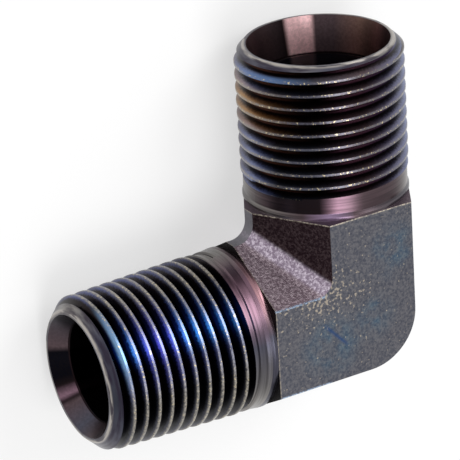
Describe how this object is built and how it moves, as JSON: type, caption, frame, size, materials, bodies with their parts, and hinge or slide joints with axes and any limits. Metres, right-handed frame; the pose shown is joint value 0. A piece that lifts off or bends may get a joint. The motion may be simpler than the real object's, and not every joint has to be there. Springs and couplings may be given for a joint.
{
  "type": "compression elbow fitting",
  "caption": "Ninety degree elbow fitting body: flareless compression tube end with straight thread and 24 degree cone, to a taper pipe-thread end, on a hexagonal forged block.",
  "frame": {"origin": "where the axes of the compression bore and the pipe bore cross", "axes": "+X runs out of the compression end along its bore, +Y runs out of the pipe-thread end along its bore, and +Z is the outward normal of the upper wrench flat"},
  "size_m": [0.0489, 0.0507, 0.0222],
  "materials": {
    "steel": "heat-darkened oxide, worn bright on the thread crests"
  },
  "bodies": {
    "root": {"elbow_body": "steel"}
  },
  "joints": []
}
